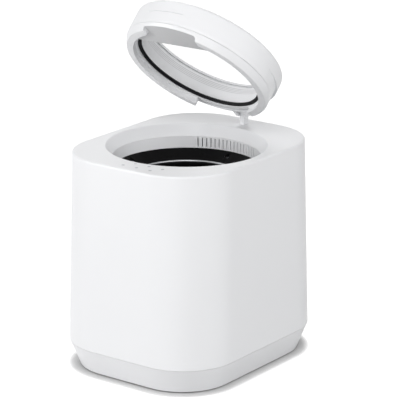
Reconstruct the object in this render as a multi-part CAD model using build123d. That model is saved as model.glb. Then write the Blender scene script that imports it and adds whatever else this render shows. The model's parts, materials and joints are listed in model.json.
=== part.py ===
from build123d import *
import math
import os

# Electric food waste composter.  Millimetres, +Z up, front of the machine towards -Y, origin on
# the floor under the middle of the body.

# ---- body ---------------------------------------------------------------------------------
BODY_WIDTH = 270.0          # at the seam, its widest level
BODY_DEPTH = 333.0
BODY_HEIGHT = 320.0         # top deck
SEAM_HEIGHT = 38.7          # where the walls turn in to the base
TOP_DRAW_IN = 4.6           # each side, seam to deck
BASE_DRAW_IN = 13.5         # each side, seam to floor
SEAM_CORNER = 83.0
TOP_CORNER = 86.0
BASE_CORNER = 76.0
WALL = 3.0
SKIN = 2.5                  # inner mouldings
DECK_EDGE = 3.0             # rounding round the deck
SEAM_GAP = 0.4
FOOT_PROUD = 2.5
FIT = 0.3                   # between mating mouldings
RUN = 0.05                  # radial, shaft in bore
SCREW_RADIUS = 1.6
HEAD_RADIUS = 3.2
THROUGH = 10.0              # how far a cut runs past what it cuts

REAR = BODY_DEPTH / 2
FRONT = -REAR
SIDE = BODY_WIDTH / 2

# ---- opening ------------------------------------------------------------------------------
OPENING_Y = -7.2
DISH_RADIUS = 116.0
THROAT_RADIUS = 107.2
DISH_DROP = 17.2
DISH_LEVEL = BODY_HEIGHT - DISH_DROP
THROAT_FOOT = BODY_HEIGHT - 35.0
SLOT_COUNT = 17
SLOT_PITCH = 3.5            # degrees
SLOT_WIDTH = 1.6
SLOT_LENGTH = 14.0

# ---- bucket and its well --------------------------------------------------------------------
BUCKET_RIM = BODY_HEIGHT - 50.0
BUCKET_RADIUS = 80.0
BUCKET_SHEET = 1.5
RIM_THICK = 3.0
RIM_RADIUS = BUCKET_RADIUS + 6.4
WELL_RADIUS = BUCKET_RADIUS + 4.0
WELL_SHEET = 2.0
WELL_FLANGE = WELL_RADIUS + 21.0
WELL_TOP = BUCKET_RIM - RIM_THICK
COLLAR_INNER = RIM_RADIUS + 3.6
COLLAR_SCREWS = WELL_FLANGE - 5.0
COLLAR_SHEET = 2.5
BAIL_WIRE = 1.8
BAIL_PIVOT = 2.0
BAIL_HEIGHT = BUCKET_RIM + 2.2

# ---- drive ----------------------------------------------------------------------------------
MODULE = 2.0
OUTPUT_TEETH = 50
SMALL_TEETH = 14
LARGE_TEETH = 36
PINION_TEETH = 12
PRESSURE = math.radians(20.0)
BACKLASH = 0.25
SHAFT_RADIUS = 6.0
PIN_RADIUS = 4.0
MOTOR_SHAFT = 3.0
GEARBOX_FLOOR = SEAM_HEIGHT + 1.3
GEARBOX_DEEP = 28.0
GEARBOX_WALL = 3.0
GEARBOX_TOP = GEARBOX_FLOOR + GEARBOX_DEEP
COVER_THICK = 3.0
TOWER_FOOT = GEARBOX_TOP + COVER_THICK
TOWER_HEIGHT = 37.0
IDLER_Y = OPENING_Y + MODULE * (OUTPUT_TEETH + SMALL_TEETH) / 2
MOTOR_Y = IDLER_Y + MODULE * (LARGE_TEETH + PINION_TEETH) / 2
MOTOR_RADIUS = 25.0
MOTOR_LENGTH = 58.0
WELL_FLOOR = TOWER_FOOT + TOWER_HEIGHT
BUCKET_FLOOR = WELL_FLOOR + 19.0
BEARING_THICK = 8.0
BEARING_RADIUS = 13.0
BAND_LOW = TOWER_FOOT + MOTOR_LENGTH + 5.0
BAND_HEIGHT = 40.0
BAND_GAP = 0.3
BAND_THICK = 3.0

# ---- lid, measured closed; S is the height over the lid's parting line -------------------------
LID_GAP = 1.0
LID_OPEN = 45.0             # degrees, as it stands
LID_RADIUS = 115.0
LID_HEIGHT = 39.7
LID_EDGE = 4.8              # rounding of the top edge
LID_WALL = 2.8
WINDOW_CLEAR = 97.6
WINDOW_RADIUS = WINDOW_CLEAR + 2.6
WINDOW_THICK = 3.0
WINDOW_SEAT = 33.0
RING_INNER = 95.6
GASKET_SEAT = 5.0
SKIRT_DROP = 11.0
SKIRT_FOOT = LID_RADIUS - 6.5
SKIRT_THICK = 9.8
SKIRT_INNER = SKIRT_FOOT - SKIRT_THICK
SHOULDER = -1.5             # where the skirt stops at the back
NOTCH_LEFT = 38.5
NOTCH_RIGHT = 50.0
NOTCH_LEVEL = -5.0
NOTCH_ROUND = 3.5
REAR_GAP = 28.0             # degrees each side of the back
WEB_CHORD = 66.0
RECESS = 6.0                # the lower wall is set in by this much at the back
RECESS_HIGH = 18.0
PARTING = BODY_HEIGHT + LID_GAP

# ---- lid hinge -------------------------------------------------------------------------------
HINGE_Y = OPENING_Y + DISH_RADIUS + 24.8
HINGE_Z = BODY_HEIGHT + 18.4
HINGE_PIN = 2.5
KNUCKLE = 5.5
EAR_HALF = 4.0
ARM_GAP = 0.4
ARM_WIDTH = 5.0
HINGE_SCREWS = 13.0

# ---- filter and fan at the back ----------------------------------------------------------------
FILTER_HALF = 46.0
FILTER_FLOOR = 0.46875      # foot of the fan chamber, as a share of the body's height
FAN_CHAMBER = 40.0
HOUSING_HALF = FILTER_HALF + 3.0
HOUSING_FRONT = OPENING_Y + WELL_FLANGE + 1.2
HOUSING_HIGH = THROAT_FOOT - 5.0
HOUSING_LOW = BODY_HEIGHT * FILTER_FLOOR
FILTER_LOW = HOUSING_LOW + FAN_CHAMBER
FILTER_HIGH = HOUSING_HIGH - 4.0
SHELF = 3.0
SHELF_TOP = FILTER_LOW + 0.6
DRAWER_GAP = 0.4
LEDGES = (HOUSING_LOW + 10.0, HOUSING_HIGH - 18.0)
LEDGE_DEEP = 10.0

# ---- mains inlet -------------------------------------------------------------------------------
PORT_X = -32.0
PORT_Z = GEARBOX_TOP + 4.0
PORT_WIDTH = 28.0
PORT_HEIGHT = 20.5
PORT_DEEP = 20.0
PORT_FLANGE = 1.5
PORT_BORDER = 3.0
PORT_WALL = 2.5

# ---- base ----------------------------------------------------------------------------------------
BOSS_X = SIDE - 37.0
BOSS_Y = REAR - 70.5
BOSS_FOOT = SEAM_HEIGHT + 8.0
BOSS_TOP = BOSS_FOOT + 73.3
BOSS_RADIUS = 5.0
BASE_SCREW = 45.0
SCREW_SEAT = SEAM_HEIGHT - 8.7
LIP = 7.0
FOOT_X = SIDE - 63.0
FOOT_Y = REAR - 44.5
FOOT_RADIUS = 9.0
FOOT_SUNK = 1.5
VENT_Y = REAR - 48.5
VENT_PITCH = 10.0
POST_RADIUS = 5.0
GEARBOX_POSTS = [
    (-MODULE * 21, OPENING_Y - 25.8),
    (MODULE * 21, OPENING_Y - 25.8),
    (-MODULE * 15, IDLER_Y + 17.2),
    (MODULE * 15, IDLER_Y + 17.2),
]
BOARD_HALF = SIDE - 59.0
BOARD_FRONT = FRONT + 20.5
BOARD_DEEP = 64.0
BOARD_LEVEL = FOOT_PROUD + 17.5
BOARD_THICK = 1.6
BOARD_MARGIN = 6.0
SMALL_SCREW = 1.2

# ---- touch keys -----------------------------------------------------------------------------------
DECK_FRONT = FRONT + TOP_DRAW_IN
KEY_STRIP = OPENING_Y - DISH_RADIUS - DECK_FRONT
KEY_ROWS = (DECK_FRONT + 0.4186 * KEY_STRIP, DECK_FRONT + 0.8114 * KEY_STRIP)
KEY_STARTS = (-5.8, 4.5)
KEY_PITCH = 23.6
KEY_RADIUS = 2.4
KEY_PANEL = 6.0             # gap from the deck's underside to the panel board
KEY_ENDS = (KEY_STARTS[0] - 12.2, KEY_STARTS[1] + 2 * KEY_PITCH + 14.3)

os.makedirs("parts", exist_ok=True)


def save(name, *solids):
    """One node: its solid, or several loose ones of one kind."""
    found = [piece for item in solids for piece in item.solids()]
    export_step(found[0] if len(found) == 1 else Compound(children=found), f"parts/{name}.step")


def turned(*outline):
    """A closed outline of (radius, height) spun round the opening's axis."""
    face = make_face(Polyline(*[(radius, 0, height) for radius, height in outline], close=True))
    return Pos(0, OPENING_Y, 0) * revolve(face, Axis.Z)


def block(x0, x1, y0, y1, z0, z1):
    """A box between corner planes, given in either order."""
    middle = Pos((x0 + x1) / 2, (y0 + y1) / 2, (z0 + z1) / 2)
    return middle * Box(abs(x1 - x0), abs(y1 - y0), abs(z1 - z0))


def post(x, y, z0, z1, radius):
    """An upright cylinder between two levels, given in either order."""
    return Pos(x, y, (z0 + z1) / 2) * Cylinder(radius, abs(z1 - z0))


def rod(x0, x1, y, z, radius):
    """A cylinder lying along X."""
    return Pos((x0 + x1) / 2, y, z) * Rot(0, 90, 0) * Cylinder(radius, abs(x1 - x0))


def on_axis(shape):
    """A shape made round the origin, moved to the opening's axis."""
    return Pos(0, OPENING_Y, 0) * shape


def wall_section(z, inset=0.0):
    """The body's outline at a level above the seam."""
    rise = (z - SEAM_HEIGHT) / (BODY_HEIGHT - SEAM_HEIGHT)
    draw = 2 * (rise * TOP_DRAW_IN + inset)
    corner = SEAM_CORNER + rise * (TOP_CORNER - SEAM_CORNER) - inset
    return Pos(0, 0, z) * RectangleRounded(BODY_WIDTH - draw, BODY_DEPTH - draw, corner)


def base_section(z, inset=0.0):
    """The base's outline at a level under the seam."""
    fall = (SEAM_HEIGHT - z) / SEAM_HEIGHT
    draw = 2 * (fall * BASE_DRAW_IN + inset)
    corner = SEAM_CORNER + fall * (BASE_CORNER - SEAM_CORNER) - inset
    return Pos(0, 0, z) * RectangleRounded(BODY_WIDTH - draw, BODY_DEPTH - draw, corner)


def walls(z0, z1, inset=0.0):
    return loft([wall_section(z0, inset), wall_section(z1, inset)], ruled=True)


def base_walls(z0, z1, inset=0.0):
    return loft([base_section(z0, inset), base_section(z1, inset)], ruled=True)


def ring_of(shape, count, start=0.0):
    """Copies of a shape evenly round the opening's axis."""
    there = Pos(0, OPENING_Y, 0)
    back = Pos(0, -OPENING_Y, 0)
    turns = [start + 360.0 * i / count for i in range(count)]
    return [there * Rot(0, 0, turn) * back * shape for turn in turns]


def gear(teeth, y, z0, z1, bore, tooth_at):
    """A spur gear with involute flanks; tooth_at is the bearing of one tooth, in degrees."""
    pitch = MODULE * teeth / 2
    base = pitch * math.cos(PRESSURE)
    tip = pitch + 0.95 * MODULE
    root = pitch - 1.25 * MODULE
    at_pitch = (math.pi / 2 - BACKLASH / MODULE) / teeth
    involute = math.tan(PRESSURE) - PRESSURE

    def half_angle(radius):
        if radius <= base:
            return at_pitch + involute
        roll = math.acos(base / radius)
        return at_pitch + involute - (math.tan(roll) - roll)

    levels = [max(base, root + 0.1 * MODULE), pitch, (pitch + tip) / 2, tip]
    outline = []
    for i in range(teeth):
        middle = math.radians(tooth_at) + 2 * math.pi * i / teeth
        flank = [(root, 0.8 * half_angle(levels[0]))]
        flank += [(radius, half_angle(radius)) for radius in levels]
        for radius, half in flank:
            outline.append((radius * math.cos(middle - half), radius * math.sin(middle - half)))
        for radius, half in reversed(flank):
            outline.append((radius * math.cos(middle + half), radius * math.sin(middle + half)))
    blank = extrude(make_face(Polyline(*outline, close=True)), z1 - z0)
    return Pos(0, y, z0) * blank - post(0, y, z0 - 1, z1 + 1, bore)


def rear_face(z):
    """Where the back wall's outside stands at a level."""
    rise = (z - SEAM_HEIGHT) / (BODY_HEIGHT - SEAM_HEIGHT)
    return REAR - rise * TOP_DRAW_IN


def on_rear(x, z):
    """A frame on the back wall, its +Y straight out of the wall."""
    lean = math.degrees(math.atan2(TOP_DRAW_IN, BODY_HEIGHT - SEAM_HEIGHT))
    return Pos(x, rear_face(z), z) * Rot(lean, 0, 0)


def lid_turned(*outline):
    """A lid ring, outline of (radius, S), still closed."""
    return turned(*[(radius, PARTING + s) for radius, s in outline])


def sector(outline, middle, spread):
    """Part of a ring, spread degrees wide about a bearing (0 is +X, 90 the back)."""
    points = [(radius, 0, PARTING + s) for radius, s in outline]
    face = make_face(Polyline(*points, close=True))
    piece = revolve(face, Axis.Z, spread)
    return Pos(0, OPENING_Y, 0) * Rot(0, 0, middle - spread / 2) * piece


def opened(shape):
    """The lid's pieces swung from closed to where the lid stands."""
    pivot = Pos(0, HINGE_Y, HINGE_Z)
    return pivot * Rot(-LID_OPEN, 0, 0) * Pos(0, -HINGE_Y, -HINGE_Z) * shape


def screw(x, y, seat, length, up=True, shank=SCREW_RADIUS):
    """A pan-head screw with a cross slot; up means its point is upwards."""
    way = 1 if up else -1
    head = 2 * shank
    thick = 1.25 * shank
    head_far = seat - way * thick
    body = post(x, y, seat, seat + way * length, shank) + post(x, y, seat, head_far, head)
    slot_far = head_far + way * 0.5 * shank
    wide = 0.7 * head
    thin = 0.12 * head
    slot = block(x - wide, x + wide, y - thin, y + thin, head_far, slot_far)
    slot += block(x - thin, x + thin, y - wide, y + wide, head_far, slot_far)
    return body - slot


# ==== housing ==================================================================================
HOUSING_BACK = rear_face(HOUSING_HIGH) - WALL - 2.55
BOSSES = [(sx * BOSS_X, sy * BOSS_Y) for sx in (-1, 1) for sy in (-1, 1)]

shell = walls(SEAM_HEIGHT + SEAM_GAP, BODY_HEIGHT)
deck_edges = shell.edges().filter_by_position(Axis.Z, BODY_HEIGHT - 0.1, BODY_HEIGHT + 0.1)
shell = fillet(deck_edges, DECK_EDGE)
shell -= walls(SEAM_HEIGHT, BODY_HEIGHT - WALL, WALL)
shell += turned(
    (DISH_RADIUS - 2.7 * WALL, BODY_HEIGHT - WALL),
    (DISH_RADIUS + 1.3 * WALL, BODY_HEIGHT - WALL),
    (THROAT_RADIUS + WALL, DISH_LEVEL),
    (THROAT_RADIUS - 1.3 * WALL, DISH_LEVEL),
)
shell -= turned(
    (0, BODY_HEIGHT + THROUGH),
    (DISH_RADIUS + 1.2, BODY_HEIGHT + THROUGH),
    (DISH_RADIUS + 1.2, BODY_HEIGHT),
    (DISH_RADIUS + 0.3, BODY_HEIGHT - 0.4),
    (DISH_RADIUS - 0.5, BODY_HEIGHT - 1.4),
    (THROAT_RADIUS + 0.4, DISH_LEVEL + 0.6),
    (THROAT_RADIUS, DISH_LEVEL),
    (THROAT_RADIUS, DISH_LEVEL - THROUGH),
    (0, DISH_LEVEL - THROUGH),
)
RIB = WALL / 3
inside_walls = walls(BOSS_FOOT, BOSS_TOP, WALL / 2)
for x, y in BOSSES:
    ribs = block(x, x * SIDE / BOSS_X, y - RIB, y + RIB, BOSS_FOOT, BOSS_TOP)
    ribs += block(x - RIB, x + RIB, y, y * REAR / BOSS_Y, BOSS_FOOT, BOSS_TOP)
    shell += post(x, y, BOSS_FOOT, BOSS_TOP, BOSS_RADIUS) + (ribs & inside_walls)
    shell -= post(x, y, BOSS_FOOT - 1, BOSS_TOP - 10, SCREW_RADIUS + RUN)
shell -= block(-FILTER_HALF, FILTER_HALF, REAR - THROUGH, REAR + THROUGH, FILTER_LOW, FILTER_HIGH)
EXHAUST_PITCH = FILTER_HALF / 5.75
EXHAUST_LOW = HOUSING_LOW + 6.0
for i in range(-5, 6):
    middle = EXHAUST_PITCH * i
    slot = block(middle - 1.5, middle + 1.5, REAR - THROUGH, REAR + THROUGH, EXHAUST_LOW, EXHAUST_LOW + 26)
    shell -= slot
shell -= on_rear(PORT_X, PORT_Z) * Box(PORT_WIDTH, 4 * WALL, PORT_HEIGHT)
pocket = Box(PORT_WIDTH + 2 * PORT_BORDER + 0.4, 2, PORT_HEIGHT + 2 * PORT_BORDER - 0.6)
shell -= on_rear(PORT_X, PORT_Z) * Pos(0, 1 - PORT_FLANGE, 0) * pocket

KEYS = [(start + KEY_PITCH * i, y) for start, y in zip(KEY_STARTS, KEY_ROWS) for i in range(3)]
DECK_UNDER = BODY_HEIGHT - WALL
PANEL_TOP = DECK_UNDER - KEY_PANEL
KEY_MIDDLE = (KEY_ROWS[0] + KEY_ROWS[1]) / 2
for x, y in KEYS:
    shell -= post(x, y, DECK_UNDER - 1, BODY_HEIGHT + 1, KEY_RADIUS + 0.1)
for x in KEY_ENDS:
    shell += post(x, KEY_MIDDLE, PANEL_TOP, DECK_UNDER + 0.5, 4)
    shell -= post(x, KEY_MIDDLE, PANEL_TOP - 1, DECK_UNDER - 1, SMALL_SCREW)
HINGE_PLATE_TOP = DECK_UNDER - 6.0
HINGE_PLATE = HINGE_PLATE_TOP - WALL
for x in (-HINGE_SCREWS, HINGE_SCREWS):
    shell += post(x, HINGE_Y, HINGE_PLATE_TOP, DECK_UNDER + 0.5, 4)
    shell -= post(x, HINGE_Y, HINGE_PLATE_TOP - 1, DECK_UNDER + 1.5, SCREW_RADIUS + RUN)
slot_x = EAR_HALF + FIT
slot_y = KNUCKLE + FIT
shell -= block(-slot_x, slot_x, HINGE_Y - slot_y, HINGE_Y + slot_y, DECK_UNDER - 1, BODY_HEIGHT + 1)
inside_walls = walls(BOSS_FOOT, BODY_HEIGHT, WALL / 2)
for side in (-1, 1):
    for z in LEDGES:
        x0 = side * (HOUSING_HALF + 1)
        x1 = side * (HOUSING_HALF + LEDGE_DEEP)
        shell += block(x0, x1, HOUSING_BACK, REAR + THROUGH, z + 1, z + LEDGE_DEEP - 1) & inside_walls
save("outer_shell", shell)

FEET = [(sx * FOOT_X, sy * FOOT_Y) for sx in (-1, 1) for sy in (-1, 1)]
tray = base_walls(FOOT_PROUD, SEAM_HEIGHT)
tray -= base_walls(FOOT_PROUD + WALL, SEAM_HEIGHT + 0.001, WALL)
lip_room = walls(SEAM_HEIGHT - 3, SEAM_HEIGHT + LIP + 1, WALL + FIT + 2)
tray += walls(SEAM_HEIGHT - 2, SEAM_HEIGHT + LIP, WALL + FIT) - lip_room
for x, y in FEET:
    tray += post(x, y, FOOT_PROUD, FOOT_PROUD + WALL + FOOT_SUNK, FOOT_RADIUS + SKIN)
    tray -= post(x, y, FOOT_PROUD - 1, FOOT_PROUD + FOOT_SUNK, FOOT_RADIUS + 0.2)
for i in range(-5, 6):
    for y in (-VENT_Y, VENT_Y):
        middle = VENT_PITCH * i
        tray -= block(middle - 2, middle + 2, y - 16, y + 16, 0, FOOT_PROUD + WALL + 0.1)
for x, y in GEARBOX_POSTS:
    tray += post(x, y, FOOT_PROUD + 1, GEARBOX_FLOOR, POST_RADIUS)
    tray -= post(x, y, GEARBOX_FLOOR / 2, GEARBOX_FLOOR + 1, SCREW_RADIUS + RUN)
for x, y in BOSSES:
    tray += post(x, y, FOOT_PROUD + 1, BOSS_FOOT, BOSS_RADIUS + 1)
    tray -= post(x, y, FOOT_PROUD - 1, BOSS_FOOT + 1, SCREW_RADIUS + 0.2)
    tray -= post(x, y, FOOT_PROUD - 1, SCREW_SEAT, HEAD_RADIUS + 0.4)
board_x = BOARD_HALF - BOARD_MARGIN
BOARD_POSTS = [
    (sx * board_x, y)
    for sx in (-1, 1)
    for y in (BOARD_FRONT + BOARD_MARGIN, BOARD_FRONT + BOARD_DEEP - BOARD_MARGIN)
]
for x, y in BOARD_POSTS:
    tray += post(x, y, FOOT_PROUD + 1, BOARD_LEVEL, 3.5)
    tray -= post(x, y, BOARD_LEVEL - 8, BOARD_LEVEL + 1, SMALL_SCREW + RUN)
save("base_tray", tray)

save("rubber_feet", *[post(x, y, 0, FOOT_PROUD + FOOT_SUNK, FOOT_RADIUS) for x, y in FEET])
save("base_screws", *[screw(x, y, SCREW_SEAT, BASE_SCREW) for x, y in BOSSES])

inlet = Pos(0, 0.1 - PORT_DEEP / 2, 0) * Box(PORT_WIDTH - 0.4, PORT_DEEP, PORT_HEIGHT - 0.4)
rim = Box(PORT_WIDTH + 2 * PORT_BORDER, PORT_FLANGE, PORT_HEIGHT + 2 * PORT_BORDER - 1)
inlet += Pos(0, -PORT_FLANGE / 2, 0) * rim
inlet &= Pos(0, -50, 0) * Box(100, 100, 100)
well_room = Box(PORT_WIDTH - 2 * PORT_WALL, PORT_DEEP, PORT_HEIGHT - 2 * PORT_WALL)
inlet -= Pos(0, PORT_WALL + 0.1 - PORT_DEEP / 2 + 1, 0) * well_room
for x, z in ((-PORT_WIDTH / 4, -2), (PORT_WIDTH / 4, -2), (0, 3)):
    inlet += Pos(x, -0.55 * PORT_DEEP, z) * Box(2, 0.7 * PORT_DEEP, 5)
save("power_inlet", on_rear(PORT_X, PORT_Z) * inlet)

# ==== throat, collar, well, heater ================================================================
throat_out = THROAT_RADIUS + WALL
throat = turned(
    (THROAT_RADIUS, THROAT_FOOT),
    (throat_out, THROAT_FOOT),
    (throat_out, DISH_LEVEL - FIT),
    (THROAT_RADIUS + 0.1, DISH_LEVEL - FIT),
    (THROAT_RADIUS + 0.1, DISH_LEVEL - FIT - 1.5),
    (THROAT_RADIUS, DISH_LEVEL - FIT - 2.2),
)
slot_top = DISH_LEVEL - 2.1
for i in range(SLOT_COUNT):
    bearing = 90 - SLOT_PITCH * (SLOT_COUNT - 1) / 2 + SLOT_PITCH * i
    half = SLOT_WIDTH / 2
    cutter = block(THROAT_RADIUS - WALL, throat_out + WALL, -half, half, slot_top - SLOT_LENGTH, slot_top)
    throat -= on_axis(Rot(0, 0, bearing) * cutter)
save("throat_ring", throat)

COLLAR_FOOT = BUCKET_RIM + 0.5
collar_top = THROAT_RADIUS - 1.4
slope = (THROAT_FOOT - COLLAR_FOOT) / (collar_top - COLLAR_INNER)
COLLAR_BOSS = HEAD_RADIUS + 1.4
SCREW_LEDGE = COLLAR_FOOT + slope * (COLLAR_SCREWS - COLLAR_BOSS - COLLAR_INNER)
collar = turned(
    (THROAT_RADIUS + 1.6 * WALL, THROAT_FOOT),
    (collar_top, THROAT_FOOT),
    (COLLAR_INNER, COLLAR_FOOT),
    (COLLAR_INNER, WELL_TOP),
    (COLLAR_INNER + 3.8, WELL_TOP),
    (COLLAR_INNER + 3.8, COLLAR_FOOT - 1),
    (collar_top, THROAT_FOOT - COLLAR_SHEET),
    (THROAT_RADIUS + 1.6 * WALL, THROAT_FOOT - COLLAR_SHEET),
)
under_slope = turned(
    (COLLAR_INNER, WELL_TOP),
    (collar_top, WELL_TOP),
    (collar_top, THROAT_FOOT),
    (COLLAR_INNER, COLLAR_FOOT),
)
turns = [math.radians(bearing) for bearing in (0, 90, 180, 270)]
SPOTS = [(COLLAR_SCREWS * math.cos(a), OPENING_Y + COLLAR_SCREWS * math.sin(a)) for a in turns]
for x, y in SPOTS:
    collar += post(x, y, WELL_TOP, THROAT_FOOT, COLLAR_BOSS) & under_slope
    collar -= post(x, y, WELL_TOP - 1, SCREW_LEDGE + 1, SCREW_RADIUS + RUN)
    collar -= post(x, y, SCREW_LEDGE, SCREW_LEDGE + THROUGH, HEAD_RADIUS + 0.3)
save("well_collar", collar)
save("collar_screws", *[screw(x, y, SCREW_LEDGE, 16, up=False) for x, y in SPOTS])

well_bore = SHAFT_RADIUS + 3
well = turned(
    (well_bore, WELL_FLOOR),
    (WELL_RADIUS + WELL_SHEET, WELL_FLOOR),
    (WELL_RADIUS + WELL_SHEET, WELL_TOP - WELL_SHEET),
    (WELL_FLANGE, WELL_TOP - WELL_SHEET),
    (WELL_FLANGE, WELL_TOP),
    (WELL_RADIUS, WELL_TOP),
    (WELL_RADIUS, WELL_FLOOR + WALL),
    (well_bore, WELL_FLOOR + WALL),
)
for x, y in SPOTS:
    well -= post(x, y, WELL_TOP - 5, WELL_TOP + 1, SCREW_RADIUS + RUN)
well_side = OPENING_Y + WELL_RADIUS
lug = block(-5, 5, well_side + 1, well_side + WELL_SHEET + 3, BAND_LOW - 4, BAND_LOW)
for one in ring_of(lug, 3, 30):
    well += one
save("bucket_well", well)

band_in = WELL_RADIUS + WELL_SHEET + BAND_GAP
band_out = band_in + BAND_THICK
BAND_TOP = BAND_LOW + BAND_HEIGHT
band = turned((band_in, BAND_LOW), (band_out, BAND_LOW), (band_out, BAND_TOP), (band_in, BAND_TOP))
terminals = block(-9, 9, -band_in - 9, -band_in - 1, BAND_LOW + 7, BAND_TOP - 7)
band += on_axis(terminals)
band -= on_axis(post(0, 0, BAND_LOW - 1, BAND_TOP + 1, band_in))
save("heater_band", band)

# ==== bucket =======================================================================================
inner = BUCKET_RADIUS - BUCKET_SHEET
floor_top = BUCKET_FLOOR + BUCKET_SHEET
bush_bore = SHAFT_RADIUS + 2
bucket = turned(
    (bush_bore, BUCKET_FLOOR),
    (BUCKET_RADIUS - 3, BUCKET_FLOOR),
    (BUCKET_RADIUS, BUCKET_FLOOR + 3),
    (BUCKET_RADIUS, WELL_TOP),
    (RIM_RADIUS - 0.8, WELL_TOP),
    (RIM_RADIUS, WELL_TOP + 0.8),
    (RIM_RADIUS, BUCKET_RIM - 0.8),
    (RIM_RADIUS - 0.8, BUCKET_RIM),
    (inner + 0.8, BUCKET_RIM),
    (inner, BUCKET_RIM - 0.8),
    (inner, floor_top + 4),
    (inner - 4, floor_top),
    (bush_bore, floor_top),
)
STAND_RADIUS = BUCKET_RADIUS - 18
STAND_FOOT = WELL_FLOOR + WALL + 1.2
bucket += turned(
    (STAND_RADIUS - 2, STAND_FOOT),
    (STAND_RADIUS, STAND_FOOT),
    (STAND_RADIUS, BUCKET_FLOOR + 1),
    (STAND_RADIUS - 2, BUCKET_FLOOR + 1),
)
EAR_IN = BUCKET_RADIUS + 2.4
EAR_OUT = BUCKET_RADIUS + 5.4
for side in (-1, 1):
    x0 = side * EAR_IN
    x1 = side * EAR_OUT
    bucket += block(x0, x1, OPENING_Y - 5, OPENING_Y + 5, BUCKET_RIM - 1, BAIL_HEIGHT + 4.5)
    bucket -= rod(side * (EAR_IN - 1), side * (EAR_OUT + 1), OPENING_Y, BAIL_HEIGHT, BAIL_PIVOT + RUN)
save("bucket", bucket)

section = Pos(BUCKET_RADIUS, 0, 0) * Rot(90, 0, 0) * Circle(BAIL_WIRE)
bail = Pos(0, OPENING_Y, BAIL_HEIGHT) * revolve(section, Axis.Z, 180)
for side in (-1, 1):
    x0 = side * (BUCKET_RADIUS - BAIL_PIVOT)
    x1 = side * (EAR_OUT + 0.8)
    bail += rod(x0, x1, OPENING_Y, BAIL_HEIGHT, BAIL_PIVOT)
save("bucket_bail", bail)
bush_out = 2 * SHAFT_RADIUS
save("bucket_bush", turned(
    (SHAFT_RADIUS + RUN, BUCKET_FLOOR - 3),
    (bush_out, BUCKET_FLOOR - 3),
    (bush_out, BUCKET_FLOOR),
    (bush_bore - RUN, BUCKET_FLOOR),
    (bush_bore - RUN, floor_top),
    (bush_out, floor_top),
    (bush_out, floor_top + 2.5),
    (SHAFT_RADIUS + RUN, floor_top + 2.5),
))

ARM_PITCH = (BUCKET_RIM - BUCKET_FLOOR) * 0.119
ARM_FOOT = BUCKET_FLOOR + 7
ARM_REACH = BUCKET_RADIUS - 10
ARM_HALF = 7.0
HUB_RADIUS = SHAFT_RADIUS + 4
HUB_TOP = ARM_FOOT + 2 * ARM_PITCH + 6
HEX_HALF = SHAFT_RADIUS + 4
HEX_HIGH = 7.0
PLUG_FOOT = WELL_FLOOR + 6.8
rotor = post(0, OPENING_Y, PLUG_FOOT + HEX_HIGH - 1, HUB_TOP + 4, SHAFT_RADIUS)
rotor += Pos(0, OPENING_Y, HUB_TOP + 4) * Sphere(SHAFT_RADIUS)
rotor += post(0, OPENING_Y, floor_top + 2.9, HUB_TOP, HUB_RADIUS)
save("grinding_rotor", rotor)


def grinding_arm(level, turn):
    """Two tapered blades on a ring, their tips raised."""
    blade = block(0, ARM_REACH, -ARM_HALF, ARM_HALF, level - 1.5, level + 1.5)
    taper = Rot(0, 0, -9) * Box(1.15 * ARM_REACH, 26, 6)
    blade -= Pos(0.557 * ARM_REACH, 3.15 * ARM_HALF, level) * taper
    blade += block(ARM_REACH - 8, ARM_REACH, -ARM_HALF, 0.4 * ARM_HALF, level - 1.5, level + 3.5)
    arm = blade + Rot(0, 0, 180) * blade + post(0, 0, level - 1.5, level + 1.5, HUB_RADIUS + 4)
    arm -= post(0, 0, level - THROUGH, level + THROUGH, HUB_RADIUS)
    return on_axis(Rot(0, 0, turn) * arm)


save("grinding_arms", *[grinding_arm(ARM_FOOT + ARM_PITCH * i, 25 + 120 * i) for i in range(3)])
plug = Pos(0, OPENING_Y, PLUG_FOOT) * extrude(RegularPolygon(HEX_HALF, 6, major_radius=False), HEX_HIGH)
save("coupling_plug", plug - post(0, OPENING_Y, PLUG_FOOT + HEX_HIGH - 1, PLUG_FOOT + THROUGH, SHAFT_RADIUS))

wall_blades = []
BLADE_IN = 0.375 * BUCKET_RADIUS
BLADE_OUT = inner - 0.4
BLADE_HALF = 1.25
for i, bearing in ((0, 60), (0, 240), (1, 150), (1, 330)):
    level = ARM_FOOT + ARM_PITCH * (i + 0.5)
    foot = level - BLADE_HALF
    blade = block(BLADE_IN, BLADE_OUT, -5, 5, foot, level + BLADE_HALF)
    blade += block(BLADE_OUT - 4, BLADE_OUT, -9, 9, foot, level + 0.35 * ARM_PITCH)
    blade &= post(0, 0, foot - 1, level + ARM_PITCH, inner - RUN)
    wall_blades.append(on_axis(Rot(0, 0, bearing) * blade))
save("wall_blades", *wall_blades)

# ==== drive ========================================================================================
SOCKET_FOOT = WELL_FLOOR + WALL + 0.6
SHAFT_TOP = SOCKET_FOOT + 1.2
SOCKET_TOP = PLUG_FOOT + 6.2
socket = post(0, OPENING_Y, SOCKET_FOOT, SOCKET_TOP, 3 * SHAFT_RADIUS)
recess = extrude(RegularPolygon(HEX_HALF + 0.25, 6, major_radius=False), THROUGH)
socket -= Pos(0, OPENING_Y, PLUG_FOOT - 0.4) * recess
socket -= post(0, OPENING_Y, SOCKET_FOOT - 1, SHAFT_TOP, SHAFT_RADIUS)
save("coupling_socket", socket)
PIN_FOOT = GEARBOX_FLOOR + 0.4 * GEARBOX_WALL
save("output_shaft", post(0, OPENING_Y, PIN_FOOT, SHAFT_TOP, SHAFT_RADIUS))
UPPER = (GEARBOX_FLOOR + 16, GEARBOX_FLOOR + 25)
LOWER = (GEARBOX_FLOOR + 6, GEARBOX_FLOOR + 14)
gear_hub = turned(
    (SHAFT_RADIUS, LOWER[0] + 4),
    (2.2 * SHAFT_RADIUS, LOWER[0] + 4),
    (2.2 * SHAFT_RADIUS, UPPER[0]),
    (SHAFT_RADIUS, UPPER[0]),
)
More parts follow.
